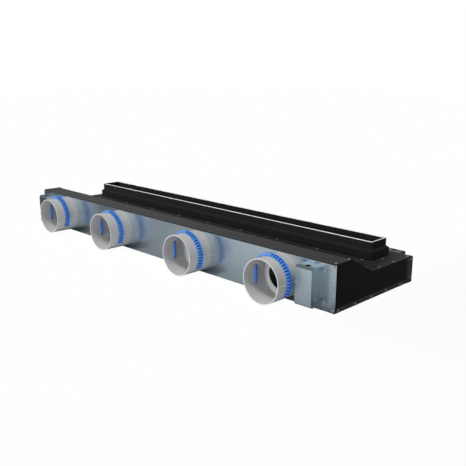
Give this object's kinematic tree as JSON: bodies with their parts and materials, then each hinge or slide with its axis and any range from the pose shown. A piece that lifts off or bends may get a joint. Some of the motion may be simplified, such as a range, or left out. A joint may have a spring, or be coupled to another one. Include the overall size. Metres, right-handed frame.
{
  "type": "linear slot diffuser plenum",
  "caption": "Long low air plenum with a sloping cover, an open slot on a stepped black neck, round duct sockets with toothed blue clips and hanging brackets.",
  "frame": {"origin": "middle of the bounding box's base, on the flat back of the plenum", "axes": "+X along the slot, -Y the way the duct sockets face, +Z out of the slot"},
  "size_m": [1.0954, 0.38, 0.1019],
  "materials": {
    "galvanised": "smooth bright zinc coat, semi-gloss",
    "black_sheet": "matt black powder coat",
    "bare_aluminium": "bare cut edge trim",
    "grey_plastic": "moulded, satin",
    "blue_plastic": "moulded, satin",
    "zinc_screw": "bright zinc"
  },
  "bodies": {
    "root": {"bottom_tray": "galvanised", "duct_clips": "blue_plastic", "duct_spigots": "grey_plastic", "end_cap_left": "black_sheet", "end_cap_left_screws": "zinc_screw", "end_cap_right": "black_sheet", "end_cap_right_screws": "zinc_screw", "front_bracket_left": "galvanised", "front_bracket_right": "galvanised", "front_bracket_screws": "zinc_screw", "front_panel": "galvanised", "front_panel_screws": "zinc_screw", "neck_frame": "black_sheet", "neck_screws": "zinc_screw", "rear_bracket_left": "galvanised", "rear_bracket_right": "galvanised", "rear_bracket_screws": "zinc_screw", "rear_panel": "galvanised", "rear_panel_screws": "zinc_screw", "slot_neck": "black_sheet", "slot_rim": "bare_aluminium", "top_cover": "black_sheet"}
  },
  "joints": []
}
